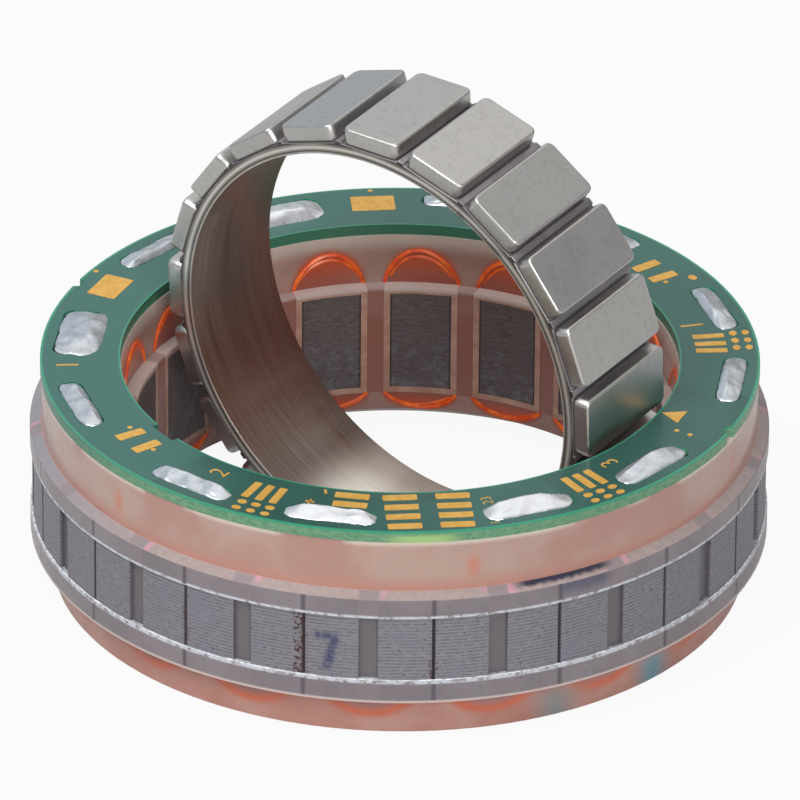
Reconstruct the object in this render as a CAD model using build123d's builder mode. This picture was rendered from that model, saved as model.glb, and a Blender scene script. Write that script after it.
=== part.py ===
from build123d import *
import os
from math import atan2, cos, degrees, hypot, radians, sin, sqrt, tan

os.makedirs("parts", exist_ok=True)

# Frameless motor: a potted ring stator with a circuit board on top, and its loose magnet rotor,
# which stands on its rim inside the stator's bore. Millimetres, +Z up along the stator's axis.
# The origin is on that axis, in the plane of the table that both pieces stand on.

# Stator core, cut into one segment for each tooth
tooth_count = 18
core_radius = 34.8
core_depth = 9.8
stack_length = 10.2
yoke_depth = 3.5
stem_width = 3.4
shoe_width = 5.9
shoe_edge = 0.45
shoe_depth = 0.8
key_width = 1.8
key_depth = 0.4
joint_chamfer = 0.14
stator_turn = 0.5

# Bobbin round each tooth
bobbin_wall = 0.6
tube_wall = 0.5
flange_depth = 1.4

# Coil on each bobbin
coil_width = 6.8
upper_turn_rise = 3.4
lower_turn_rise = 1.85
coil_flare = 1.3
turn_sides = 5
lead_width = 2.8
lead_thickness = 0.9
lead_inset = 0.15
run_length = 3
first_run_index = 2
lead_spread = 13.0

# Resin casting
film_thickness = 0.2
upper_film_lap = 1.85
lower_film_lap = 1.75
ledge_cover = 0.05
lower_step = 2.1
upper_step = 1.1
shoulder_rise = 0.55
lower_cover = 1.1
upper_cover = 0.4
wall_recess = 1.3
slot_recess = 0.05
bore_foot = 2.4
foot_relief = 3.95

# Circuit board ring
board_overhang = 0.1
board_setback = 0.15
board_thickness = 1.1
slot_margin = 1.3
slot_width = 2.4
slot_length = 8.8
slot_corner = 0.7
wide_slot_number = 7
wide_slot_width = 3.9
notch_radius = 0.75
bore_flat_angle = 69.5
bore_flat_width = 3.3
bore_flat_depth = 0.6
solder_rise = 0.2
solder_chamfer = 0.25

# Rotor ring and magnets
magnet_count = 20
air_gap = 0.8
magnet_length = 12.6
magnet_thickness = 1.7
magnet_corner = 0.6
magnet_bevel = 0.3
magnet_clearance = 0.1
rib_width = 0.73
rib_height = 0.45
ring_wall = 1.1
ring_overhang = 0.1

# How the rotor stands: on the flat of its lowest magnet, leaning back against the stator
rotor_lean = 3.5
rotor_forward = 1.0
rotor_rest_gap = 0.05
lowest_seat_angle = 270.0

# Radii and levels that follow from the sizes above
tooth_pitch = 360 / tooth_count
joint_angle = radians(tooth_pitch / 2)
bore_radius = core_radius - core_depth
yoke_inner = core_radius - yoke_depth
coil_front = bore_radius + flange_depth
coil_depth = yoke_inner - coil_front
flange_width = shoe_width + 2 * bobbin_wall
tube_width = stem_width + 2 * tube_wall
frame_bottom = lower_cover + coil_flare + lower_turn_rise
stack_bottom = frame_bottom + bobbin_wall
stack_top = stack_bottom + stack_length
frame_top = stack_top + bobbin_wall
frame_height = frame_top - frame_bottom
board_bottom = frame_top + upper_turn_rise + coil_flare + upper_cover
board_top = board_bottom + board_thickness
film_radius = core_radius + film_thickness
film_top = stack_top + ledge_cover
wall_radius = bore_radius + wall_recess
slot_wall_radius = bore_radius + slot_recess
lower_ring_radius = film_radius - lower_step
collar_radius = film_radius - upper_step
board_radius = collar_radius + board_overhang
board_bore_radius = wall_radius + board_setback
slot_outer = board_radius - slot_margin
lead_radius = slot_outer - slot_width + lead_inset + lead_thickness / 2


def core_outline():
    """Plan of one tooth segment along X: yoke arc, stem and tooth shoe."""
    with BuildSketch() as outline:
        with BuildLine():
            shoe_side = shoe_width / 2
            shoe_front = sqrt(bore_radius**2 - shoe_side**2)
            joint_outer = Vector(core_radius, 0).rotate(Axis.Z, degrees(joint_angle))
            side = Polyline(
                joint_outer,
                (yoke_inner, yoke_inner * tan(joint_angle)),
                (yoke_inner, stem_width / 2),
                (bore_radius + shoe_depth, stem_width / 2),
                (shoe_front + shoe_edge, shoe_side),
                (shoe_front, shoe_side),
            )
            mirror(side, about=Plane.XZ)
            ThreePointArc(side @ 1, (bore_radius, 0), (shoe_front, -shoe_side))
            ThreePointArc(side @ 0, (core_radius, 0), (joint_outer.X, -joint_outer.Y))
        make_face()
        chamfer(outline.vertices().sort_by(Axis.X)[-2:], joint_chamfer)
        with Locations((core_radius, 0)):
            Rectangle(2 * key_depth, key_width, mode=Mode.SUBTRACT)
    return outline.sketch


core_face = core_outline()

# Core segments, butted on their side faces
segments = []
for index in range(tooth_count):
    with BuildPart() as segment:
        tooth_plane = Plane.XY.rotated((0, 0, stator_turn + index * tooth_pitch))
        with BuildSketch(tooth_plane.offset(stack_bottom)):
            add(core_face)
        extrude(amount=stack_length)
    segment.part.label = f"core_segment_{index + 1:02d}"
    export_step(segment.part, f"parts/{segment.part.label}.step")
    segments.append(segment.part)

# Bobbins: a tube on each stem with a flange that frames the tooth shoe in the bore
with BuildPart() as bobbin:
    with BuildSketch(Plane.XY.rotated((0, 0, stator_turn)).offset(frame_bottom)):
        with Locations((coil_front, 0)):
            Rectangle(coil_front, flange_width, align=(Align.MAX, Align.CENTER))
        with Locations((yoke_inner, 0)):
            Rectangle(yoke_inner, tube_width, align=(Align.MAX, Align.CENTER))
        Circle(bore_radius, mode=Mode.SUBTRACT)
    extrude(amount=frame_height)
    add(segments[0], mode=Mode.SUBTRACT)

with BuildPart() as bobbins:
    with PolarLocations(0, tooth_count):
        add(bobbin.part)
bobbins.part.label = "bobbins"
export_step(bobbins.part, "parts/bobbins.step")

# One coil: straight flanks and arched end turns, flaring towards the yoke as its slot widens
coil_side = coil_width / 2
coil_plane = Plane(origin=(coil_front, 0, frame_bottom), x_dir=(0, 1, 0), z_dir=(1, 0, 0))
turn_angles = [radians(180 * step / turn_sides) for step in range(turn_sides + 1)]
upper_turn = [
    (coil_side * cos(angle), frame_height + upper_turn_rise * sin(angle)) for angle in turn_angles
]
lower_turn = [(-coil_side * cos(angle), -lower_turn_rise * sin(angle)) for angle in turn_angles]
with BuildPart() as coil:
    with BuildSketch(coil_plane):
        with BuildLine():
            Polyline(*upper_turn, *lower_turn, close=True)
        make_face()
    extrude(amount=coil_depth)
    flanks = coil.faces().filter_by(Axis.X, reverse=True)
    draft(flanks, coil_plane, -degrees(atan2(coil_flare, coil_depth)))
    with BuildSketch(coil_plane):
        with Locations((0, frame_height / 2)):
            Rectangle(tube_width, frame_height)
    extrude(amount=coil_depth, mode=Mode.SUBTRACT)

# Windings: each phase has two runs of coils on opposite sides, and each run two leads that
# rise to the board
windings = []
for phase, phase_name in enumerate(("phase_u", "phase_v", "phase_w")):
    with BuildPart() as winding:
        for run in (phase, phase + tooth_count // (2 * run_length)):
            run_middle = (first_run_index + run * run_length) * tooth_pitch + stator_turn
            run_start = run_middle - tooth_pitch * (run_length - 1) / 2
            with PolarLocations(0, run_length, run_start, run_length * tooth_pitch):
                add(coil.part)
            with BuildSketch(Plane.XY.offset(frame_top)):
                lead_start = run_middle - lead_spread
                with PolarLocations(lead_radius, 2, lead_start, 2 * lead_spread, endpoint=True):
                    Rectangle(lead_thickness, lead_width)
            extrude(amount=board_bottom - frame_top)
    winding.part.label = f"{phase_name}_winding"
    export_step(winding.part, f"parts/{winding.part.label}.step")
    windings.append(winding.part)

# Potting: turned outside and bore, moulded round the core, the bobbins and the windings
with BuildPart() as potting:
    with BuildSketch(Plane.XZ):
        with BuildLine():
            Polyline(
                (slot_wall_radius + foot_relief, 0),
                (lower_ring_radius, 0),
                (lower_ring_radius, frame_bottom),
                (film_radius, frame_bottom),
                (film_radius, film_top),
                (collar_radius, film_top + shoulder_rise),
                (collar_radius, board_bottom),
                (wall_radius, board_bottom),
                (wall_radius, frame_top),
                (slot_wall_radius, frame_top),
                (slot_wall_radius, bore_foot),
                close=True,
            )
        make_face()
    revolve(axis=Axis.Z)
    bare_bottom = stack_bottom + lower_film_lap
    with BuildSketch(Plane.XY.offset(bare_bottom)):
        Circle(film_radius)
        Circle(core_radius - key_depth, mode=Mode.SUBTRACT)
    extrude(amount=stack_length - lower_film_lap - upper_film_lap, mode=Mode.SUBTRACT)
    add(segments, mode=Mode.SUBTRACT)
    add(bobbins.part, mode=Mode.SUBTRACT)
    add(windings, mode=Mode.SUBTRACT)
potting.part.label = "potting"
export_step(potting.part, "parts/potting.step")

# Board slots: one above each lead, all alike but one that is wider
slot_middles = [
    (first_run_index + run * run_length) * tooth_pitch + stator_turn + side * lead_spread
    for run in range(tooth_count // run_length)
    for side in (-1, 1)
]
slot_faces = []
for number, middle in enumerate(slot_middles, 1):
    width = wide_slot_width if number == wide_slot_number else slot_width
    with BuildSketch(Plane.XY.offset(board_bottom)) as slot_face:
        with PolarLocations(slot_outer - width / 2, 1, middle):
            Rectangle(width, slot_length)
        chamfer(slot_face.vertices(), slot_corner)
    slot_faces.append(slot_face.sketch)

with BuildPart() as circuit_board:
    with BuildSketch(Plane.XY.offset(board_bottom)):
        Circle(board_radius)
        Circle(board_bore_radius, mode=Mode.SUBTRACT)
        with PolarLocations(board_radius, 2, stator_turn + tooth_pitch / 2):
            Circle(notch_radius, mode=Mode.SUBTRACT)
        with PolarLocations(board_bore_radius, 2, stator_turn + bore_flat_angle):
            Rectangle(2 * bore_flat_depth, bore_flat_width, mode=Mode.SUBTRACT)
        add(slot_faces, mode=Mode.SUBTRACT)
    extrude(amount=board_thickness)
circuit_board.part.label = "circuit_board"
export_step(circuit_board.part, "parts/circuit_board.step")

# Solder joints, which fill the slots and stand a little proud
for index, slot_face in enumerate(slot_faces):
    with BuildPart() as solder_joint:
        add(slot_face)
        extrude(amount=board_thickness + solder_rise)
        chamfer(solder_joint.faces().sort_by(Axis.Z)[-1].edges(), solder_chamfer)
    solder_joint.part.label = f"solder_joint_{index + 1:02d}"
    export_step(solder_joint.part, f"parts/{solder_joint.part.label}.step")

# Rotor sizes, from the bore inwards
magnet_pitch = 360 / magnet_count
face_radius = bore_radius - air_gap
seat_radius = face_radius - magnet_thickness
ring_bore_radius = seat_radius - ring_wall
pocket_width = 2 * seat_radius * tan(radians(magnet_pitch / 2)) - rib_width
magnet_width = pocket_width - 2 * magnet_clearance
corner_radius = hypot(face_radius, magnet_width / 2)
lean = radians(rotor_lean)

# The rotor stands with the front edge of its lowest magnet on the table
rotor_height = face_radius * cos(lean) + (magnet_length / 2 - magnet_bevel) * sin(lean)


def side_room(level, opening_radius):
    """How far the rotor can lie to the side at this level before it meets a round opening."""
    drop = rotor_height - level
    reach = rotor_forward + magnet_length / 2 + drop * tan(lean)
    room = sqrt((opening_radius - rotor_rest_gap) ** 2 - reach**2)
    return room - sqrt(corner_radius**2 - drop**2)


rotor_side = min(side_room(board_top, board_bore_radius), side_room(frame_top, bore_radius))
rotor_plane = Plane(
    origin=(rotor_side, rotor_forward, rotor_height),
    x_dir=(1, 0, 0),
    z_dir=(0, -cos(lean), -sin(lean)),
)

# Rotor ring: turned, then milled with a flat seat for each magnet
ring_length = magnet_length + 2 * ring_overhang
rib_radius = seat_radius + rib_height
with BuildPart() as rotor_ring:
    with BuildSketch(rotor_plane.offset(-ring_length / 2)):
        Circle(rib_radius)
        Circle(ring_bore_radius, mode=Mode.SUBTRACT)
        with PolarLocations(rib_radius, magnet_count, lowest_seat_angle):
            Rectangle(2 * rib_height, pocket_width, mode=Mode.SUBTRACT)
    extrude(amount=ring_length)
rotor_ring.part.label = "rotor_ring"
export_step(rotor_ring.part, "parts/rotor_ring.step")

# Magnets, glued to the seats
seats = PolarLocations(seat_radius, magnet_count, lowest_seat_angle)
for index, seat in enumerate(seats.local_locations):
    seat_plane = Plane(rotor_plane.location * seat)
    magnet_plane = Plane(seat_plane.origin, x_dir=seat_plane.y_dir, z_dir=seat_plane.x_dir)
    with BuildPart() as magnet:
        with BuildSketch(magnet_plane) as magnet_face:
            Rectangle(magnet_width, magnet_length)
            chamfer(magnet_face.vertices(), magnet_corner)
        extrude(amount=magnet_thickness)
        outer_face = magnet.faces().sort_by(Axis(magnet_plane.origin, magnet_plane.z_dir))[-1]
        chamfer(outer_face.edges(), magnet_bevel)
    magnet.part.label = f"magnet_{index + 1:02d}"
    export_step(magnet.part, f"parts/{magnet.part.label}.step")
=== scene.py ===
import math
import random

import bmesh
import bpy
from mathutils import Euler, Matrix, Vector, noise


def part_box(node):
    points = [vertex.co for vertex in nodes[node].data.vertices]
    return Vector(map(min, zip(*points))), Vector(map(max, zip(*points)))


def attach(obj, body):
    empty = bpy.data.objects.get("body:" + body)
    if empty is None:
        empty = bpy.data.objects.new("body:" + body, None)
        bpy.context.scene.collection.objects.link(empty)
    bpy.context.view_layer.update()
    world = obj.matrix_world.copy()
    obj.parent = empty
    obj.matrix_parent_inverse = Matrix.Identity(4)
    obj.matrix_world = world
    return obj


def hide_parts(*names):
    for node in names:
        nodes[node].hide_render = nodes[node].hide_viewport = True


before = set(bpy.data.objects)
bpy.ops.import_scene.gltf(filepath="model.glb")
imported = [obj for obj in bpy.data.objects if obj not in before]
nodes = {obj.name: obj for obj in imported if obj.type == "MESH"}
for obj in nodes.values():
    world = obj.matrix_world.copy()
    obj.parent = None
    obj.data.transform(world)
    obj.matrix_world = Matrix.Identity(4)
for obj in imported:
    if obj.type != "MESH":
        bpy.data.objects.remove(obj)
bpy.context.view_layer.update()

# Stator core
# Eighteen tooth segments of electrical steel sheets, stamped, stacked, pressed together and butted into a
# ring. The sheets' cut edges show outside and in the bore, with joints and shallow key grooves between them.
tooth_count = 18
tooth_pitch = 360 / tooth_count
stator_turn = 0.5
sheet_thickness = 0.35
yoke_zone = 30.0
groove_floor = 34.5
tooth_half_angle = 6.7


def srgb(red, green, blue):
    """A screen colour, 0 to 255, as the linear colour that a shader takes."""
    linear = [
        level / 12.92 if level <= 0.04045 else ((level + 0.055) / 1.055) ** 2.4
        for level in (red / 255, green / 255, blue / 255)
    ]
    return (*linear, 1.0)


def add_node(tree, kind, inputs, output=0, **settings):
    """A new shader node: inputs are values or links by socket, and settings are its options."""
    made = tree.nodes.new(kind)
    for key, value in settings.items():
        setattr(made, key, value)
    for socket, value in inputs.items():
        if isinstance(value, bpy.types.NodeSocket):
            tree.links.new(value, made.inputs[socket])
        else:
            made.inputs[socket].default_value = value
    return made.outputs[output]


class Paint:
    """A procedural material in millimetres: each method adds nodes and gives their output."""

    def __init__(self, name, **settings):
        self.material = bpy.data.materials.new(name)
        self.material.use_nodes = True
        self.tree = self.material.node_tree
        self.shader = self.tree.nodes["Principled BSDF"]
        for key, value in settings.items():
            self.shader.inputs[key.replace("_", " ").title()].default_value = value
        self.x, self.y, self.z, self.radius, self.angle, self.point = self.frame()

    def node(self, kind, inputs, output=0, **settings):
        return add_node(self.tree, kind, inputs, output, **settings)

    def math(self, operation, *values):
        return self.node("ShaderNodeMath", dict(enumerate(values)), operation=operation)

    def product(self, first, *others):
        """Masks or numbers multiplied with each other: 1 only where all of them are 1."""
        total = first
        for value in others:
            total = self.math("MULTIPLY", total, value)
        return total

    def larger(self, first, second):
        return self.math("MAXIMUM", first, second)

    def diagonal(self, first, second):
        """The length of the diagonal over two sides."""
        return self.math("SQRT", self.math("ADD", self.product(first, first), self.product(second, second)))

    def frame(self, origin=(0, 0, 0), turn=(0, 0, 0)):
        """Coordinates in millimetres, and the polar radius and angle, about a local frame."""
        here = self.node("ShaderNodeTexCoord", {}, "Object")
        local = self.node(
            "ShaderNodeMapping",
            {"Vector": here, "Location": origin, "Rotation": turn},
            vector_type="TEXTURE",
        )
        point = self.node("ShaderNodeVectorMath", {0: local, "Scale": 1000.0}, operation="SCALE")
        split = self.tree.nodes.new("ShaderNodeSeparateXYZ")
        self.tree.links.new(point, split.inputs[0])
        x, y, z = split.outputs
        angle = self.math("DEGREES", self.math("ARCTAN2", y, x))
        return x, y, z, self.diagonal(x, y), angle, point

    def noise(self, size, stretch=(1, 1, 1), detail=3.0, roughness=0.55, point=None):
        """Cloudy noise from 0 to 1 whose lumps are about size millimetres."""
        scaled = self.node(
            "ShaderNodeVectorMath",
            {0: point or self.point, 1: tuple(part / size for part in stretch)},
            operation="MULTIPLY",
        )
        return self.node(
            "ShaderNodeTexNoise",
            {"Vector": scaled, "Scale": 1.0, "Detail": detail, "Roughness": roughness},
        )

    def step(self, value, start, end):
        """0 at start and 1 at end."""
        return self.node(
            "ShaderNodeMapRange",
            {"Value": value, "From Min": start, "From Max": end},
            interpolation_type="SMOOTHSTEP",
        )

    def band(self, value, low, high, soft):
        """1 between low and high, fading over soft."""
        rising = self.step(value, low - soft, low + soft)
        return self.product(rising, self.step(value, high + soft, high - soft))

    def mix(self, factor, first, second):
        """A colour that goes from the first to the second with the factor."""
        return self.node("ShaderNodeMix", {0: factor, 6: first, 7: second}, output=2, data_type="RGBA")

    def two_tone(self, value, first, second, start=0.35, end=0.65):
        """The first colour where the value is low, and the second where it is high."""
        return self.mix(self.step(value, start, end), first, second)

    def blend(self, factor, first, second):
        """A number that goes from the first to the second with the factor."""
        return self.node("ShaderNodeMix", {0: factor, 2: first, 3: second}, data_type="FLOAT")

    def within(self, pitch, offset=0.0):
        """Degrees from the middle of the nearest of the equal sectors of this pitch."""
        shifted = self.math("ADD", self.angle, pitch / 2 - offset)
        return self.math("SUBTRACT", self.math("FLOORED_MODULO", shifted, pitch), pitch / 2)

    def bump(self, height, depth):
        """Relief of this depth in millimetres."""
        return self.node("ShaderNodeBump", {"Strength": 1.0, "Distance": depth / 1000, "Height": height})

    def wear(self, color, normal, roughness=None):
        """Links the finished colour, relief and, where it varies, roughness to the shader."""
        for socket, value in (("Base Color", color), ("Normal", normal), ("Roughness", roughness)):
            if value:
                self.tree.links.new(value, self.shader.inputs[socket])
        return self.material


def dress(names, material):
    """Gives CAD nodes a material."""
    for name in names:
        nodes[name].data.materials.clear()
        nodes[name].data.materials.append(material)


steel = Paint("lamination_steel", metallic=0.3)
tooth_angle = steel.within(tooth_pitch, stator_turn)
joint_angle = steel.math("SUBTRACT", tooth_pitch / 2, steel.math("ABSOLUTE", tooth_angle))
sheet_line = steel.math("PINGPONG", steel.math("ADD", steel.z, 0.1), sheet_thickness / 2)
sheet_line = steel.step(sheet_line, 0.0, 0.35 * sheet_thickness)
ragged = steel.noise(0.5, stretch=(1, 1, 2.5), detail=4)
sheet_line = steel.larger(sheet_line, steel.step(ragged, 0.45, 0.62))

# The outside: sheet lines, blotches, pits, the key grooves and the joints
outside = steel.step(steel.radius, yoke_zone, yoke_zone + 1)
outer_color = steel.mix(sheet_line, srgb(101, 99, 106), srgb(133, 131, 138))
blotch = steel.product(steel.step(steel.noise(3.0, detail=4), 0.5, 0.72), 0.6)
outer_color = steel.mix(blotch, outer_color, srgb(124, 124, 136))
pits = steel.step(steel.noise(0.28, detail=2), 0.66, 0.72)
outer_color = steel.mix(pits, outer_color, srgb(74, 70, 78))
groove = steel.product(outside, steel.step(steel.radius, groove_floor + 0.1, groove_floor))
outer_color = steel.mix(groove, outer_color, srgb(110, 106, 110))
joint = steel.step(joint_angle, 0.36, 0.2)
outer_color = steel.mix(joint, outer_color, srgb(64, 60, 68))

# Two strokes of blue marker on one segment, a level one and a slanted one
marker_top = steel.product(steel.band(steel.angle, -67.7, -63.8, 0.4), steel.band(steel.z, 10.6, 11.3, 0.35))
slanted = steel.math("SUBTRACT", steel.angle, steel.product(steel.z, 0.4))
marker_down = steel.product(steel.band(slanted, -69.6, -68.2, 0.5), steel.band(steel.z, 7.4, 11.2, 0.5))
marker = steel.product(
    steel.larger(marker_top, marker_down), steel.step(steel.noise(0.9, detail=3), 0.26, 0.5), 0.85
)
outer_color = steel.mix(marker, outer_color, srgb(58, 66, 100))

# Rust in patches along the joints, and a column of it beside one joint
rust = steel.product(
    steel.step(joint_angle, 1.1, 0.2),
    steel.step(steel.noise(0.45, detail=3), 0.5, 0.6),
    steel.step(steel.noise(9.0), 0.5, 0.62),
)
rust_column = steel.product(
    steel.band(steel.angle, -71.1, -69.3, 0.3), steel.step(steel.noise(0.4, detail=2), 0.48, 0.58)
)
outer_color = steel.mix(steel.larger(rust, rust_column), outer_color, srgb(76, 50, 50))

# The tooth faces in the bore are darker and streaked, with a painted bluish sheen in patches low down
face_streak = steel.noise(0.8, stretch=(1, 1, 4), detail=5, roughness=0.75)
inner_color = steel.two_tone(face_streak, srgb(76, 65, 66), srgb(108, 98, 99), 0.25, 0.75)
# Painted sheen: brighter bluish patches low on the tooth faces
painted_sheen_patch = steel.product(
    steel.step(steel.noise(1.1, detail=6, roughness=0.75), 0.48, 0.7), steel.step(steel.z, 12.0, 6.0)
)
inner_color = steel.mix(painted_sheen_patch, inner_color, srgb(118, 118, 126))
tooth_edge = steel.step(steel.math("ABSOLUTE", tooth_angle), tooth_half_angle - 0.6, tooth_half_angle)
inner_color = steel.mix(tooth_edge, inner_color, srgb(52, 44, 46))
steel_relief = steel.math("ADD", sheet_line, steel.product(steel.noise(0.2, detail=2), 0.6))
core_material = steel.wear(
    color=steel.mix(outside, inner_color, outer_color),
    normal=steel.bump(steel.product(steel_relief, steel.blend(groove, 1.0, 0.15)), 0.01),
    roughness=steel.blend(groove, 0.5, 0.38),
)
dress([f"core_segment_{number:02d}" for number in range(1, tooth_count + 1)], core_material)

# Bobbins
# One moulded insulator round each tooth, of cream translucent nylon. Only the flanges that
# frame the tooth faces in the bore are bare.
frame_low, frame_high = 4.25, 15.65

nylon = Paint(
    "bobbin_nylon",
    roughness=0.38,
    subsurface_weight=0.25,
    subsurface_radius=(0.0012, 0.0006, 0.0004),
    coat_weight=0.3,
    coat_roughness=0.15,
)
nylon_color = nylon.two_tone(nylon.noise(1.6), srgb(166, 124, 106), srgb(186, 148, 130), 0.35, 0.7)
# A painted highlight along the tops of the flanges
flange_top_highlight = nylon.step(nylon.z, frame_high - 0.5, frame_high - 0.15)
nylon_color = nylon.mix(flange_top_highlight, nylon_color, srgb(200, 184, 178))
dress(["bobbins"], nylon.wear(color=nylon_color, normal=nylon.bump(nylon.noise(0.5), 0.02)))

# Windings
# Enamelled copper wire, wound on each bobbin. The resin covers it all, but at the bore wall
# the innermost turns of each coil lie right under the surface and show as orange arches.
wire_diameter, wire_sink = 0.5, 0.02
turns_in_view, arch_steps = 2, 20
arch_half_width = 3.55
upper_arch_rise, lower_arch_rise = 3.35, 1.6
wall_radius, lower_wall_radius = 26.3, 25.05

enamel = Paint("wire_enamel", roughness=0.42, coat_weight=0.35, coat_roughness=0.25)
enamel_color = enamel.two_tone(enamel.noise(1.2), srgb(212, 62, 4), srgb(248, 112, 16), 0.3, 0.7)
wire_material = enamel.wear(color=enamel_color, normal=enamel.bump(enamel.noise(0.15, detail=2), 0.01))
dress(["phase_u_winding", "phase_v_winding", "phase_w_winding"], wire_material)


def mesh_piece(name, shape, material, sharp=35.0):
    """A new piece of the object from a finished bmesh, smooth but for its sharp edges."""
    bmesh.ops.recalc_face_normals(shape, faces=shape.faces)
    mesh = bpy.data.meshes.new(name)
    shape.to_mesh(mesh)
    shape.free()
    mesh.shade_smooth()
    mesh.set_sharp_from_angle(angle=math.radians(sharp))
    mesh.materials.append(material)
    piece = bpy.data.objects.new(name, mesh)
    bpy.context.scene.collection.objects.link(piece)
    return piece


def curve_mesh(curve):
    """The mesh of a curve or text as a bmesh."""
    holder = bpy.data.objects.new(curve.name, curve)
    bpy.context.scene.collection.objects.link(holder)
    bpy.context.view_layer.update()
    solid = holder.evaluated_get(bpy.context.evaluated_depsgraph_get())
    made = bmesh.new()
    made.from_mesh(bpy.data.meshes.new_from_object(solid))
    bpy.data.objects.remove(holder)
    return made


def swept(lines, thickness, closed=False):
    """A bmesh of round wires, this many millimetres thick, along lines of points in metres."""
    curve = bpy.data.curves.new("wires", "CURVE")
    curve.dimensions = "3D"
    curve.bevel_depth = thickness / 2000
    curve.bevel_resolution = 2
    curve.use_fill_caps = True
    for line in lines:
        spline = curve.splines.new("POLY")
        spline.points.add(len(line) - 1)
        spline.use_cyclic_u = closed
        for point, place in zip(spline.points, line):
            point.co = (*place, 1.0)
    return curve_mesh(curve)


def polar(radius, angle, level):
    """A point in metres from a radius and level in millimetres and an angle in degrees."""
    turn = math.radians(angle)
    return Vector((radius * math.cos(turn), radius * math.sin(turn), level)) / 1000


random.seed(7)
arches = []
for tooth in range(tooth_count):
    middle = stator_turn + tooth * tooth_pitch
    for base, rise, wall in (
        (frame_high, upper_arch_rise, wall_radius),
        (frame_low, -lower_arch_rise, lower_wall_radius),
    ):
        for turn in range(turns_in_view):
            spread = arch_half_width - 0.3 * turn + random.uniform(-0.12, 0.12)
            height = rise * (1 - 0.16 * turn) + random.uniform(-0.1, 0.1)
            lean = random.uniform(-0.5, 0.5) * (1 + turn)
            line = []
            for index in range(arch_steps + 1):
                swing = math.pi * index / arch_steps
                along = spread * math.cos(swing) + lean * math.sin(swing) ** 2
                sunk = wire_sink + 0.12 * turn + 0.12 * math.cos(swing) ** 6
                level = base + height * math.sin(swing) ** 1.4
                line.append(polar(wall + sunk, middle + math.degrees(along / wall), level))
            arches.append(line)
end_turns = mesh_piece("end_turn_wires", swept(arches, wire_diameter), wire_material)
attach(end_turns, "root")

# Potting
# One casting of translucent pinkish resin round the core, bobbins and windings, in which the coils show
# as orange shadows. Its thin film laps over the edges of the core with rough trimmed edges.
film_bottom, film_low, film_high, film_top = 4.25, 6.6, 13.2, 14.9
film_radius = 34.9
collar_radius = 33.9
ledge_top = 15.6
collar_top = 20.7
half_level = 10.0
bore_zone = 27.2
bead_thickness = 0.26
coil_half_angle, coil_drop = 7.8, 2.8
fill_half_width = 3.3

resin = Paint(
    "potting_resin",
    roughness=0.3,
    subsurface_weight=0.35,
    subsurface_radius=(0.002, 0.0009, 0.0006),
    coat_weight=0.5,
    coat_roughness=0.12,
)
cloud = resin.noise(7.0)
fine = resin.noise(0.6)
tooth_angle = resin.within(tooth_pitch, stator_turn)
from_tooth = resin.math("ABSOLUTE", tooth_angle)
joint_angle = resin.math("SUBTRACT", tooth_pitch / 2, from_tooth)

# The upper collar, from the ledge up to the board, with a coil lead showing faintly here and there and a
# painted highlight along its top
collar = resin.two_tone(cloud, srgb(172, 132, 121), srgb(178, 150, 138))
collar = resin.mix(resin.step(resin.z, ledge_top + 2, ledge_top), collar, srgb(182, 132, 118))
# A painted highlight along the top edge of the collar, under the board
collar_top_highlight = resin.product(resin.step(resin.z, collar_top - 0.6, collar_top), resin.step(cloud, 0.38, 0.52))
collar = resin.mix(collar_top_highlight, collar, srgb(214, 204, 188))
for spot, faint in ((-43.2, 0.75), (-105.3, 0.8), (-148.0, 0.5), (12.0, 0.6), (76.0, 0.7), (141.0, 0.6)):
    lead = resin.product(
        resin.band(resin.angle, spot - 0.7, spot + 0.7, 1.1), faint, resin.band(resin.z, 17.0, 19.0, 0.9)
    )
    collar = resin.mix(lead, collar, srgb(200, 112, 84))

# The lower ring, with the flared coil ends as orange crescents under the grooves, and two bluish patches of
# painted reflection
across = resin.math("DIVIDE", tooth_angle, coil_half_angle)
down = resin.math("DIVIDE", resin.math("SUBTRACT", film_bottom, resin.z), coil_drop)
reach = resin.diagonal(across, down)
lower = resin.two_tone(cloud, srgb(178, 124, 111), srgb(188, 144, 132))
lower = resin.mix(resin.step(reach, 1.0, 0.7), lower, srgb(164, 116, 110))
crescent = resin.product(resin.band(reach, 0.7, 0.98, 0.16), resin.step(cloud, 0.25, 0.5))
lower = resin.mix(crescent, lower, srgb(200, 104, 72))
# Two painted bluish reflections, low on the ring
for spot, faint, tint in ((-28.5, 0.85, srgb(122, 144, 146)), (-8.5, 1.0, srgb(92, 146, 162))):
    painted_blue_reflection = resin.product(
        resin.band(resin.angle, spot - 2.6, spot + 2.6, 3.6), faint, resin.step(resin.z, 3.9, 1.6)
    )
    lower = resin.mix(painted_blue_reflection, lower, tint)

# The film over the steel, with the joints and grooves showing through it
film = resin.two_tone(cloud, srgb(117, 109, 114), srgb(130, 122, 127))
film = resin.mix(resin.step(resin.noise(0.3), 0.62, 0.72), film, srgb(100, 92, 98))
film = resin.mix(resin.step(from_tooth, 1.9, 1.2), film, srgb(126, 116, 120))
film = resin.mix(resin.step(joint_angle, 0.6, 0.1), film, srgb(86, 78, 86))
film_edge = resin.larger(
    resin.band(resin.z, film_low - 0.35, film_low + 0.1, 0.12),
    resin.band(resin.z, film_high - 0.1, film_high + 0.25, 0.12),
)
film_edge = resin.product(film_edge, resin.step(fine, 0.3, 0.55))
film = resin.mix(film_edge, film, srgb(196, 200, 208))
film = resin.mix(resin.step(resin.z, film_bottom + 0.35, film_bottom + 0.1), film, srgb(196, 180, 174))
stain = resin.product(resin.band(resin.angle, -29.5, -21.0, 1.2), resin.step(resin.z, 13.3, 14.8), 0.65)
film = resin.mix(stain, film, srgb(58, 62, 92))
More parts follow.
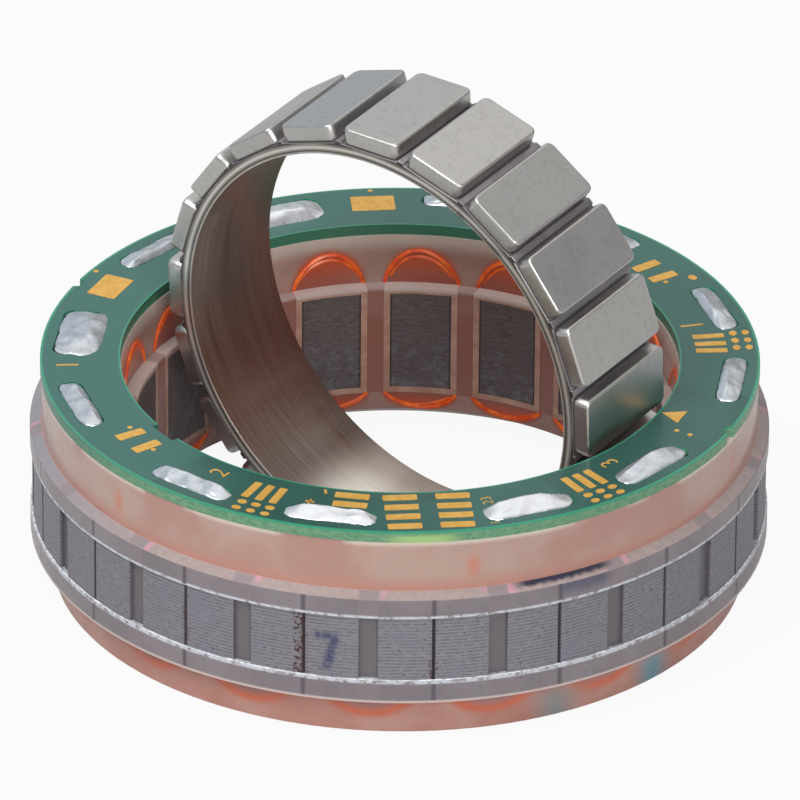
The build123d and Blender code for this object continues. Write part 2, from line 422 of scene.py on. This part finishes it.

# The sloping ledge on top of the film is creamy, greyer over the grooves, with painted shade on its left
# side, pink marks and one dark smear
ledge_cream = resin.two_tone(fine, srgb(154, 139, 136), srgb(166, 150, 147), 0.3, 0.7)
# Painted shade: the ledge is greyer on the left side
ledge_cream = resin.mix(resin.step(resin.angle, -90.0, -135.0), ledge_cream, srgb(142, 138, 144))
ledge = resin.mix(resin.step(from_tooth, 2.1, 1.1), ledge_cream, srgb(140, 128, 131))
pink_places = resin.step(resin.noise(2.0, detail=1), 0.45, 0.62)
pink = resin.product(resin.band(from_tooth, 1.7, 2.7, 0.3), pink_places, 0.7)
ledge = resin.mix(pink, ledge, srgb(206, 142, 164))
smear_edge = resin.math("ADD", resin.radius, resin.product(fine, 0.5))
smear = resin.product(resin.band(resin.angle, -36.0, -20.5, 1.6), resin.step(smear_edge, 35.0, 34.5))
ledge = resin.mix(smear, ledge, srgb(28, 31, 56))

# The bore wall: brown slot strips, and reddish fill under the wires of each coil
arc = resin.product(resin.math("RADIANS", tooth_angle), resin.radius)
arc_share = resin.math("DIVIDE", arc, fill_half_width)
above = resin.math("DIVIDE", resin.math("SUBTRACT", resin.z, frame_high), upper_arch_rise)
below = resin.math("DIVIDE", resin.math("SUBTRACT", frame_low, resin.z), lower_arch_rise)
rise_share = resin.larger(above, below)
inside_arch = resin.math("ADD", resin.product(arc_share, arc_share), resin.product(rise_share, rise_share))
bore = resin.two_tone(cloud, srgb(150, 112, 100), srgb(164, 130, 118))
bore = resin.mix(resin.step(resin.z, 18.6, collar_top), bore, srgb(196, 180, 168))
fill = resin.two_tone(rise_share, srgb(150, 76, 58), srgb(186, 70, 28), 0.1, 0.75)
bore = resin.mix(resin.step(inside_arch, 1.65, 0.9), bore, fill)
between = resin.band(resin.z, frame_low, frame_high - 0.3, 0.1)
strip = resin.product(between, resin.step(resin.radius, lower_wall_radius + 0.75, lower_wall_radius + 0.45))
bore = resin.mix(strip, bore, srgb(142, 89, 77))
step_face = resin.product(
    resin.step(resin.radius, wall_radius - 0.02, wall_radius - 0.1), resin.step(resin.z, 15.35, 15.6)
)
bore = resin.mix(step_face, bore, srgb(172, 152, 147))

# Each zone takes its own colour
upper_half = resin.step(resin.z, half_level, half_level + 0.2)
on_ledge = resin.product(resin.step(resin.radius, collar_radius + 0.02, collar_radius + 0.08), upper_half)
film_side = resin.product(
    resin.step(resin.radius, 33.1, 33.4), resin.band(resin.z, film_bottom + 0.15, film_top, 0.1)
)
outer_face = resin.larger(resin.step(resin.radius, film_radius, film_radius + 0.07), film_side)
skin = resin.mix(upper_half, lower, collar)
skin = resin.mix(on_ledge, skin, ledge)
skin = resin.mix(outer_face, skin, film)
skin = resin.mix(resin.step(resin.radius, bore_zone + 0.8, bore_zone), skin, bore)
resin_relief = resin.math("ADD", resin.product(resin.noise(2.4, detail=2), 2.0), fine)
resin_material = resin.wear(
    color=skin,
    normal=resin.bump(resin_relief, 0.02),
    roughness=resin.blend(outer_face, 0.3, 0.42),
)
dress(["potting"], resin_material)

# Rough glossy beads along the trimmed edges of the film, uneven by a noise that closes on itself
beads = []
for level in (film_low - 0.08, film_high + 0.08):
    line = []
    for degree in range(360):
        turn = math.radians(degree)
        spot = Vector((math.cos(turn), math.sin(turn), level)) * 9
        bead_radius = film_radius - 0.05 + 0.02 * noise.noise(spot)
        line.append(polar(bead_radius, degree, level + 0.06 * noise.noise(spot * 1.7)))
    beads.append(line)
gloss = Paint("film_edge_resin", roughness=0.22, coat_weight=0.6, coat_roughness=0.1)
gloss_color = gloss.two_tone(gloss.noise(0.5), srgb(176, 177, 184), srgb(236, 239, 243), 0.35, 0.6)
film_edges = mesh_piece(
    "film_edges",
    swept(beads, bead_thickness, closed=True),
    gloss.wear(color=gloss_color, normal=gloss.bump(gloss.noise(0.25), 0.06)),
)
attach(film_edges, "root")

# Circuit board
# A ring of glass-epoxy laminate with a green solder mask, darker where there is no copper
# under it. It lies on the collar and joins the coils, and bare gold pads show on its face.
board_top = 21.85
board_bottom = 20.75
board_outer, board_inner = 33.85, 26.5
mark_height = 0.035
number_height = 0.03
pad_corner, stroke_corner = 0.12, 0.04
stroke = 0.22


def color_ramp(tree, value, stops):
    """A row of colours over a value, with stops of a place and a colour each."""
    ramp = tree.nodes.new("ShaderNodeValToRGB")
    tree.links.new(value, ramp.inputs[0])
    row = ramp.color_ramp.elements
    row[0].position, row[0].color = stops[0]
    row[1].position, row[1].color = stops[-1]
    for place, color in stops[1:-1]:
        row.new(place).color = color
    return ramp.outputs[0]


board = Paint("board_laminate", roughness=0.34, coat_weight=0.35, coat_roughness=0.2)

# How much copper lies under the mask, from one angle in degrees to the next
copper = (
    (0.0, 0.25), (22.0, 0.25), (23.0, 0.55), (66.0, 0.55), (67.0, 0.75), (128.0, 0.75),
    (129.0, 0.9), (244.0, 0.9), (244.6, 0.8), (262.0, 0.8), (262.8, 0.35), (274.0, 0.3),
    (275.0, 0.12), (317.0, 0.15), (318.0, 0.55), (334.0, 0.55), (334.8, 0.2), (360.0, 0.2),
)
whole_turn = board.math("DIVIDE", board.math("FLOORED_MODULO", board.angle, 360.0), 360.0)
copper_stops = [(angle / 360, (share, share, share, 1)) for angle, share in copper]
mask_color = board.mix(color_ramp(board.tree, whole_turn, copper_stops), srgb(13, 70, 60), srgb(39, 99, 90))
mask_cloud = board.product(board.step(board.noise(9.0, detail=2), 0.4, 0.62), 0.4)
mask_color = board.mix(mask_cloud, mask_color, srgb(40, 95, 86))
# Painted highlights along the outer and inner edges of the mask
painted_edge_highlight = board.larger(
    board.step(board.radius, board_outer - 0.15, board_outer),
    board.step(board.radius, board_inner + 0.18, board_inner),
)
mask_color = board.mix(painted_edge_highlight, mask_color, srgb(35, 142, 110))

# The cut edge is lighter, with the fibres in the light at the front and shade at the left
fibres = board.noise(0.6, stretch=(1, 1, 3))
side_color = board.two_tone(fibres, srgb(78, 128, 98), srgb(104, 148, 112), 0.35, 0.6)
fibre_light = board.product(
    board.band(board.angle, -56.0, -46.5, 2.5), board.step(board.z, board_top - 0.1, board_top - 0.7)
)
side_color = board.mix(fibre_light, side_color, srgb(150, 186, 118))
# A painted highlight along the top of the cut edge
mask_edge_highlight = board.step(board.z, board_top - 0.3, board_top - 0.05)
side_color = board.mix(mask_edge_highlight, side_color, srgb(38, 146, 108))
left_side = board.product(board.step(board.angle, -95.0, -125.0), 0.65)
side_color = board.mix(left_side, side_color, srgb(24, 104, 88))
inner_side = board.step(board.radius, board_inner + 1.1, board_inner + 0.7)
side_color = board.mix(inner_side, side_color, srgb(42, 106, 80))
top_face = board.step(board.z, board_top - 0.02, board_top - 0.005)
board_material = board.wear(
    color=board.mix(top_face, side_color, mask_color),
    normal=board.bump(board.noise(0.35, detail=2), 0.006),
    roughness=board.blend(top_face, 0.5, 0.34),
)
dress(["circuit_board"], board_material)


def lay_on_board(marks, shape, radius, angle, height=mark_height, side=0.0, tilt=0.0):
    """Moves a flat shape from the origin to its place on the board and joins it to the others."""
    place = Matrix.Rotation(math.radians(angle), 4, "Z")
    place = place @ Matrix.Translation(Vector((radius, side, board_top + height / 2)) / 1000)
    place = place @ Matrix.Rotation(math.radians(tilt), 4, "Z")
    bmesh.ops.transform(shape, matrix=place, verts=shape.verts)
    held = bpy.data.meshes.new("held")
    shape.to_mesh(held)
    shape.free()
    marks.from_mesh(held)
    bpy.data.meshes.remove(held)


def flat_bar(marks, radius, angle, across, along, corner=pad_corner, **place):
    """A thin bar on the board, with its size along the radius and along the tangent."""
    shape = bmesh.new()
    bmesh.ops.create_cube(shape, size=1.0)
    bmesh.ops.scale(shape, vec=(across / 1000, along / 1000, mark_height / 1000), verts=shape.verts)
    uprights = [edge for edge in shape.edges if abs(edge.verts[0].co.z - edge.verts[1].co.z) > 1e-9]
    bmesh.ops.bevel(
        shape, geom=uprights, offset=corner / 1000, segments=2, profile=0.5, affect="EDGES", material=-1
    )
    lay_on_board(marks, shape, radius, angle, **place)


def flat_dot(marks, radius, angle, across, along):
    """A thin oval dot on the board."""
    shape = bmesh.new()
    bmesh.ops.create_cone(
        shape, cap_ends=True, segments=20, radius1=0.0005, radius2=0.0005, depth=mark_height / 1000
    )
    bmesh.ops.scale(shape, vec=(across, along, 1.0), verts=shape.verts)
    lay_on_board(marks, shape, radius, angle)


def flat_number(marks, words, radius, angle, size):
    """A plain number on the board, with its foot towards the outside."""
    text = bpy.data.curves.new("number", "FONT")
    text.body = words
    text.size = size / 1000
    text.extrude = number_height / 2000
    text.align_x, text.align_y = "CENTER", "CENTER"
    text.offset = -0.00002
    text.resolution_u = 3
    lay_on_board(marks, curve_mesh(text), radius, angle, height=number_height, tilt=180)


# Large pads, round and oval dots and pairs of bars, each at a radius and an angle
pads = bmesh.new()
for radius, angle in ((30.8, 130.1), (30.7, 189.4)):
    flat_bar(pads, radius, angle, 2.9, 4.2)
for radius, angle in (
    (33.4, 130.2), (33.4, 185.7), (29.05, 244.9), (29.55, 254.2), (29.5, 65.9), (29.55, 6.3), (31.0, 6.1)
):
    flat_dot(pads, radius, angle, 0.5, 0.5)
for radius, angle in ((29.65, 247.2), (29.7, 252.5), (29.8, 73.0), (29.85, 67.9)):
    flat_bar(pads, radius, angle, 2.9, 1.1)
flat_dot(pads, 32.2, 65.0, 0.8, 1.0)

# Three groups of three bars, with two rows of dots outside each
for bars, dots in (
    ((277.5, 280.15, 282.75), (278.0, 280.55, 283.05)),
    ((338.0, 340.6, 343.2), (338.3, 340.8, 343.3)),
    ((43.5, 40.6, 38.0), (44.0, 41.4, 38.9)),
):
    for angle in bars:
        flat_bar(pads, 29.5, angle, 3.0, 0.78)
    for angle in dots:
        flat_dot(pads, 31.9, angle, 0.75, 0.95)
        flat_dot(pads, 33.1, angle, 0.7, 0.9)
for radius, angle in ((27.55, 296.0), (29.2, 296.1)):
    flat_bar(pads, radius, angle, 1.0, 3.25)

# Eight pads in two columns, one on each side of a radius of the board
for radius in (27.35, 29.17, 30.95, 32.75):
    for side in (-2.45, 2.45):
        flat_bar(pads, radius, 310.3, 1.0, 3.2, side=side)

# Thin strokes, a plus sign, plain numbers and an arrow
flat_bar(pads, 31.45, 219.3, 2.1, stroke, corner=stroke_corner)
flat_bar(pads, 28.4, 48.2, 2.2, stroke, corner=stroke_corner)
flat_bar(pads, 29.5, 288.8, 0.9, stroke, corner=stroke_corner)
flat_bar(pads, 29.5, 288.8, stroke, 0.9, corner=stroke_corner)
flat_bar(pads, 27.3, 290.6, 0.8, 0.25, corner=stroke_corner, tilt=20)
for words, radius, angle, size in (
    ("2", 28.4, 269.2, 2.6), ("3", 28.3, 348.7, 2.6), ("23", 29.0, 321.4, 1.5), ("1", 33.2, 320.6, 1.3)
):
    flat_number(pads, words, radius, angle, size)
arrow = bmesh.new()
bmesh.ops.create_cone(
    arrow, cap_ends=True, segments=3, radius1=0.0014, radius2=0.0014, depth=mark_height / 1000
)
lay_on_board(pads, arrow, 28.2, 11.4, tilt=90)

gold = Paint("pad_gold", roughness=0.36, metallic=0.35)
gold_color = gold.two_tone(gold.noise(0.7), srgb(218, 165, 72), srgb(230, 180, 90))
gold_material = gold.wear(color=gold_color, normal=gold.bump(gold.noise(0.3), 0.01))
gold_pads = mesh_piece("gold_pads", pads, gold_material)
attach(gold_pads, "root")

# Solder joints
# The coil ends come up through the slots of the board and are drowned in tin solder, which
# set in crinkled lumps of its own shape.
slot_angles = (27.5, 53.5, 87.5, 113.5, 147.5, 173.5, 207.5, 233.5, 267.5, 293.5, 327.5, 353.5)
slot_outer = 32.7
slot_length, slot_width, wide_slot_width = 8.8, 2.4, 3.9
wide_slot = 7
slot_gap = 0.02
lump_columns, lump_rows = 56, 22
crest_range, slope_range = (0.35, 0.6), (0.2, 0.7)

# How far some lumps run over the edge of their slots, in millimetres
spills = {5: 1.9, 7: 0.6, 11: 0.5, 12: 0.4}

tin = Paint("tin_solder", metallic=0.85, roughness=0.3)
tin_tone = tin.noise(1.6, detail=4, roughness=0.6)
tin_color = tin.two_tone(tin_tone, srgb(186, 192, 199), srgb(212, 217, 223), 0.35, 0.6)
# Lumps in two stretches of angle are painted whiter, a painted highlight
painted_light_on_lumps = tin.larger(tin.band(tin.angle, -80.0, -20.0, 4.0), tin.band(tin.angle, 136.0, 158.0, 2.0))
tin_color = tin.mix(painted_light_on_lumps, tin_color, srgb(226, 228, 232))
tin_material = tin.wear(
    color=tin_color,
    normal=tin.bump(tin.noise(2.2, detail=2, roughness=0.5), 0.022),
    roughness=tin.blend(tin.step(tin.noise(1.1), 0.35, 0.65), 0.16, 0.34),
)
random.seed(5)
for number, angle in enumerate(slot_angles, 1):
    width = wide_slot_width if number == wide_slot else slot_width
    spill = spills.get(number, 0.0)
    crest = random.uniform(*crest_range) + 0.25 * spill
    near_slope, far_slope = random.uniform(*slope_range), random.uniform(*slope_range)
    lump = bmesh.new()
    bmesh.ops.create_grid(lump, x_segments=lump_rows, y_segments=lump_columns, size=1.0)
    for vertex in lump.verts:
        u, v = vertex.co.x, vertex.co.y
        seed = Vector((u * width * 0.5, v * slot_length * 0.5, number * 7.3))
        # A superellipse for the outline, uneven at its rim
        reach = (abs(u) ** 4 + abs(v) ** 4) ** 0.25
        edge = max(abs(u), abs(v))
        ratio = edge / reach if reach else 1.0
        ratio *= 1 - 0.1 * edge * max(0.0, noise.noise(seed * 0.8))
        x = u * ratio * (width / 2 - slot_gap) + spill * (u - 1) / 2
        y = v * ratio * (slot_length / 2 - slot_gap)
        # A crest near the bore side slopes down to the outer side and to both ends
        top = -0.45 + 0.25 * noise.noise(seed * 0.3)
        slope = (1 - u) / (1 - top) if u > top else ((1 + u) / (1 + top)) ** 0.6
        ends = min(1.0, (1 - v) / near_slope, (1 + v) / far_slope)
        crease = 0.24 * (0.25 - abs(noise.noise(seed * 0.38 + Vector((3, 1, 4)))))
        crease += 0.05 * noise.noise(seed * 0.8)
        level = board_top - 0.05 + (1 - edge**6) ** 0.5 * (0.12 + crest * slope * ends + crease)
        vertex.co = Vector((x, y, level)) / 1000
    # A skirt goes down into the slot and is closed at the bottom
    rim = [edge for edge in lump.edges if edge.is_boundary]
    skirt = bmesh.ops.extrude_edge_only(lump, edges=rim)
    for vertex in (item for item in skirt["geom"] if isinstance(item, bmesh.types.BMVert)):
        vertex.co.x = max(vertex.co.x, (slot_gap - width / 2) / 1000)
        vertex.co.z = (board_bottom + slot_gap) / 1000
    bmesh.ops.contextual_create(lump, geom=[edge for edge in lump.edges if edge.is_boundary])
    place = Matrix.Rotation(math.radians(angle), 4, "Z")
    place = place @ Matrix.Translation(((slot_outer - width / 2) / 1000, 0, 0))
    bmesh.ops.transform(lump, matrix=place, verts=lump.verts)
    solder = mesh_piece(f"solder_lump_{number:02d}", lump, tin_material, sharp=70.0)
    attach(solder, "root")
    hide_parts(f"solder_joint_{number:02d}")

# Rotor ring
# The rotor's back iron, turned from plain steel with a fine feed in the bore, then milled
# with twenty flat seats. It leans back on the magnets inside the stator.
rotor_lean = 3.5
rotor_bore = 21.4
seat_radius = 22.5
ring_half_length = 6.4
edge_break = 0.12

ring_low, ring_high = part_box("rotor_ring")
rotor_origin = (Vector(ring_low) + Vector(ring_high)) / 2
rotor_turn = Euler((math.radians(90 + rotor_lean), 0, 0))

iron = Paint("rotor_steel", metallic=0.7)
rx, ry, rz, rotor_radius, rotor_angle, rotor_point = iron.frame(tuple(rotor_origin), tuple(rotor_turn))
tool_mark = iron.noise(0.2, stretch=(0.02, 0.02, 1), roughness=0.7, point=rotor_point)
tool_band = iron.noise(1.6, stretch=(0.05, 0.05, 1), detail=2, point=rotor_point)
stain = iron.noise(8.0, point=rotor_point)

# The turned bore, with one warm reddish stretch and a painted highlight low down, where the bore faces the
# light from above
bore_color = iron.two_tone(tool_mark, srgb(116, 100, 92), srgb(146, 130, 121), 0.32, 0.68)
bore_color = iron.mix(iron.product(iron.step(tool_band, 0.42, 0.6), 0.4), bore_color, srgb(136, 120, 112))
bore_color = iron.mix(iron.product(iron.step(stain, 0.45, 0.7), 0.4), bore_color, srgb(130, 108, 100))
warm = iron.product(iron.band(rotor_angle, -168.0, -138.0, 14.0), 0.6)
bore_color = iron.mix(warm, bore_color, srgb(120, 74, 56))
# A painted highlight on the lower part of the bore
painted_bore_highlight = iron.product(iron.step(rx, -12.0, -6.5), iron.step(ry, -14.0, -18.0))
bore_color = iron.mix(painted_bore_highlight, bore_color, iron.mix(tool_mark, srgb(218, 206, 192), srgb(255, 252, 246)))

# The end faces, with painted highlights on the chamfers near both edges and a dark line between them
# Painted highlights on the chamfers at the bore edge and near the seats
painted_edge_highlight = iron.math(
    "ADD",
    iron.band(rotor_radius, rotor_bore - 0.2, rotor_bore + 0.15, 0.06),
    iron.band(rotor_radius, rotor_bore + 0.55, rotor_bore + 0.8, 0.08),
)
rim_color = iron.two_tone(stain, srgb(142, 137, 131), srgb(158, 152, 146))
rim_color = iron.mix(painted_edge_highlight, rim_color, srgb(214, 209, 202))
dark_line = iron.band(rotor_radius, rotor_bore + 0.26, rotor_bore + 0.38, 0.04)
rim_color = iron.mix(dark_line, rim_color, srgb(86, 82, 80))
# Darker at the seats: the glue under the magnets, with painted shade in the gap
glue_line_and_shade = iron.step(rotor_radius, seat_radius - 0.15, seat_radius)
rim_color = iron.mix(glue_line_and_shade, rim_color, srgb(84, 80, 80))

seat_color = iron.two_tone(stain, srgb(128, 124, 127), srgb(150, 146, 148))
in_bore = iron.step(rotor_radius, rotor_bore + 0.15, rotor_bore + 0.05)
ring_color = iron.mix(in_bore, seat_color, bore_color)
on_rim = iron.step(iron.math("ABSOLUTE", rz), ring_half_length - 0.06, ring_half_length - 0.01)
ring_color = iron.mix(on_rim, ring_color, rim_color)
iron_material = iron.wear(
    color=ring_color,
    normal=iron.bump(iron.product(tool_mark, in_bore), 0.004),
    roughness=iron.blend(iron.step(tool_band, 0.35, 0.65), 0.3, 0.44),
)
dress(["rotor_ring"], iron_material)
nodes["rotor_ring"].modifiers.new("joined_corners", "WELD").merge_threshold = 1e-6
turned_edges = nodes["rotor_ring"].modifiers.new("turned_edges", "BEVEL")
turned_edges.width, turned_edges.segments = edge_break / 1000, 2
turned_edges.limit_method, turned_edges.angle_limit = "ANGLE", math.radians(50)
turned_edges.harden_normals = True

# Magnets
# Twenty sintered blocks with a bright nickel plating, tumbled so that their corners are
# round, and glued to the seats of the ring.
magnet_count = 20
magnet_pitch = 360 / magnet_count
magnet_width, magnet_length, magnet_thickness = 6.197, 12.6, 1.7
magnet_corner, magnet_edge = 0.75, 0.26

# Each block has a tone of its own, from its place round the ring, and faint mottling
nickel = Paint("magnet_nickel", metallic=1.0)
nickel_angle, nickel_point = nickel.frame(tuple(rotor_origin), tuple(rotor_turn))[-2:]
turned = nickel.math("ADD", nickel_angle, 90 + magnet_pitch / 2)
magnet_index = nickel.math("FLOOR", nickel.math("DIVIDE", turned, magnet_pitch))
own_tone = nickel.node("ShaderNodeTexWhiteNoise", {"W": magnet_index}, noise_dimensions="1D")
nickel_color = nickel.mix(own_tone, srgb(189, 187, 185), srgb(202, 200, 197))
mottle = nickel.noise(0.7, detail=5, roughness=0.65, point=nickel_point)
grey_spots = nickel.product(nickel.step(mottle, 0.48, 0.7), 0.34)
nickel_color = nickel.mix(grey_spots, nickel_color, srgb(159, 156, 154))
cloudy = nickel.step(nickel.noise(4.5, point=nickel_point), 0.35, 0.65)
nickel_material = nickel.wear(
    color=nickel_color,
    normal=nickel.bump(nickel.math("ADD", mottle, nickel.noise(0.25, detail=2)), 0.003),
    roughness=nickel.blend(cloudy, 0.3, 0.38),
)


def bevel_edges(block, edges, size, segments):
    """Rounds these edges of the block."""
    bmesh.ops.bevel(
        block, geom=edges, offset=size / 1000, segments=segments, profile=0.5, affect="EDGES", material=-1
    )


def through(edge):
    """Whether the edge runs through the thickness of the block, which lies along x."""
    return abs(edge.verts[0].co.x - edge.verts[1].co.x) > 1e-9


rotor_place = Matrix.Translation(rotor_origin) @ rotor_turn.to_matrix().to_4x4()
for index in range(magnet_count):
    block = bmesh.new()
    bmesh.ops.create_cube(block, size=1.0)
    size = Vector((magnet_thickness, magnet_width, magnet_length)) / 1000
    bmesh.ops.scale(block, vec=size, verts=block.verts)
    bevel_edges(block, [edge for edge in block.edges if through(edge)], magnet_corner, 6)
    face_edges = [
        edge
        for edge in block.edges
        if not through(edge) and len([face for face in edge.link_faces if abs(face.normal.x) > 0.9]) == 1
    ]
    bevel_edges(block, face_edges, magnet_edge, 3)
    place = rotor_place @ Matrix.Rotation(math.radians(270 + index * magnet_pitch), 4, "Z")
    place = place @ Matrix.Translation(((seat_radius + magnet_thickness / 2) / 1000, 0, 0))
    bmesh.ops.transform(block, matrix=place, verts=block.verts)
    magnet = mesh_piece(f"plated_magnet_{index + 1:02d}", block, nickel_material, sharp=60.0)
    flat_faces = magnet.modifiers.new("flat_faces", "WEIGHTED_NORMAL")
    flat_faces.weight, flat_faces.keep_sharp = 100, True
    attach(magnet, "root")
    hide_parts(f"magnet_{index + 1:02d}")

# Studio
# A plain pale table and a white background, soft light from above and from the front left,
# and the camera of the photograph. None of it belongs to the object.
floor_size = 6.0
floor_white = 0.93
shiny_share = 0.25


def white_share(tree):
    """1 for rays from the camera or through glass, and a part of it for rays off a shiny surface."""
    path = tree.nodes.new("ShaderNodeLightPath")
    off_shiny = {0: path.outputs["Is Glossy Ray"], 1: shiny_share}
    total = add_node(tree, "ShaderNodeMath", off_shiny, operation="MULTIPLY")
    for ray in ("Is Camera Ray", "Is Transmission Ray"):
        total = add_node(tree, "ShaderNodeMath", {0: total, 1: path.outputs[ray]}, operation="MAXIMUM")
    return total


floor_mesh = bmesh.new()
bmesh.ops.create_grid(floor_mesh, x_segments=4, y_segments=4, size=floor_size)
floor_data = bpy.data.meshes.new("floor")
floor_mesh.to_mesh(floor_data)
floor_mesh.free()
floor = bpy.data.objects.new("floor", floor_data)
bpy.context.scene.collection.objects.link(floor)

# The table is grey to the light, so that it keeps the shadow, and nearly white to the camera
table = bpy.data.materials.new("studio_floor")
table.use_nodes = True
tree = table.node_tree
table_top = tree.nodes["Principled BSDF"]
table_top.inputs["Base Color"].default_value = (0.5, 0.49, 0.48, 1)
table_top.inputs["Roughness"].default_value = 0.9
glow = add_node(tree, "ShaderNodeEmission", {"Color": (1, 1, 1, 1), "Strength": 1.0})
share = add_node(tree, "ShaderNodeMath", {0: white_share(tree), 1: floor_white}, operation="MULTIPLY")
surface = add_node(tree, "ShaderNodeMixShader", {0: share, 1: table_top.outputs[0], 2: glow})
tree.links.new(surface, tree.nodes["Material Output"].inputs["Surface"])
floor_data.materials.append(table)

# The room: bright above, dim near the table, cooler at the left, dark at the right, weaker in front
world = bpy.data.worlds.new("studio")
bpy.context.scene.world = world
world.use_nodes = True
tree = world.node_tree
direction = tree.nodes.new("ShaderNodeSeparateXYZ")
tree.links.new(add_node(tree, "ShaderNodeTexCoord", {}, "Generated"), direction.inputs[0])
to_right, to_back, upward = direction.outputs
room = color_ramp(
    tree,
    upward,
    (
        (0.04, (0.1, 0.09, 0.1, 1)),
        (0.36, (0.24, 0.23, 0.23, 1)),
        (0.55, (0.73, 0.72, 0.72, 1)),
        (0.72, (0.84, 0.83, 0.8, 1)),
        (1.0, (1.3, 1.3, 1.3, 1)),
    ),
)
for start, end, color in ((-0.5, -0.7, (0.43, 0.5, 0.58, 1)), (0.0, 0.52, (0.19, 0.19, 0.2, 1))):
    side = add_node(tree, "ShaderNodeMapRange", {"Value": to_right, "From Min": start, "From Max": end})
    room = add_node(tree, "ShaderNodeMix", {0: side, 6: room, 7: color}, output=2, data_type="RGBA")
front = {"Value": to_back, "From Min": 0.2, "From Max": -0.4, "To Min": 1.0, "To Max": 0.6}
soft_room = tree.nodes["Background"]
tree.links.new(room, soft_room.inputs["Color"])
tree.links.new(add_node(tree, "ShaderNodeMapRange", front), soft_room.inputs["Strength"])
white_room = add_node(tree, "ShaderNodeBackground", {"Color": (1, 1, 1, 1), "Strength": 1.0})
rooms = {0: white_share(tree), 1: soft_room.outputs[0], 2: white_room}
backdrop = add_node(tree, "ShaderNodeMixShader", rooms)
tree.links.new(backdrop, tree.nodes["World Output"].inputs["Surface"])


def softbox(name, place, size, power):
    """A square lamp of this size in metres and power in watts, aimed at the object."""
    light = bpy.data.lights.new(name, "AREA")
    light.shape = "SQUARE"
    light.size = size
    light.energy = power
    holder = bpy.data.objects.new(name, light)
    bpy.context.scene.collection.objects.link(holder)
    holder.location = place
    holder.rotation_euler = (Vector((0, 0, 0.02)) - Vector(place)).to_track_quat("-Z", "Y").to_euler()


softbox("key_light", (-0.15, -0.55, 0.8), 0.6, 6.0)
softbox("front_light", (0.78, -0.66, 0.5), 0.5, 7.4)

camera_data = bpy.data.cameras.new("camera")
camera_data.lens = 566.7947
camera_data.sensor_width = 36.0
camera_data.clip_end = 20.0
camera = bpy.data.objects.new("camera", camera_data)
bpy.context.scene.collection.objects.link(camera)
camera.location = (0.59905355, -0.85553714, 0.59092389)
camera.rotation_euler = Euler(map(math.radians, (61.21304102, -0.42104799, 35.22977906)))
bpy.context.scene.camera = camera
bpy.context.scene.view_settings.view_transform = "Standard"
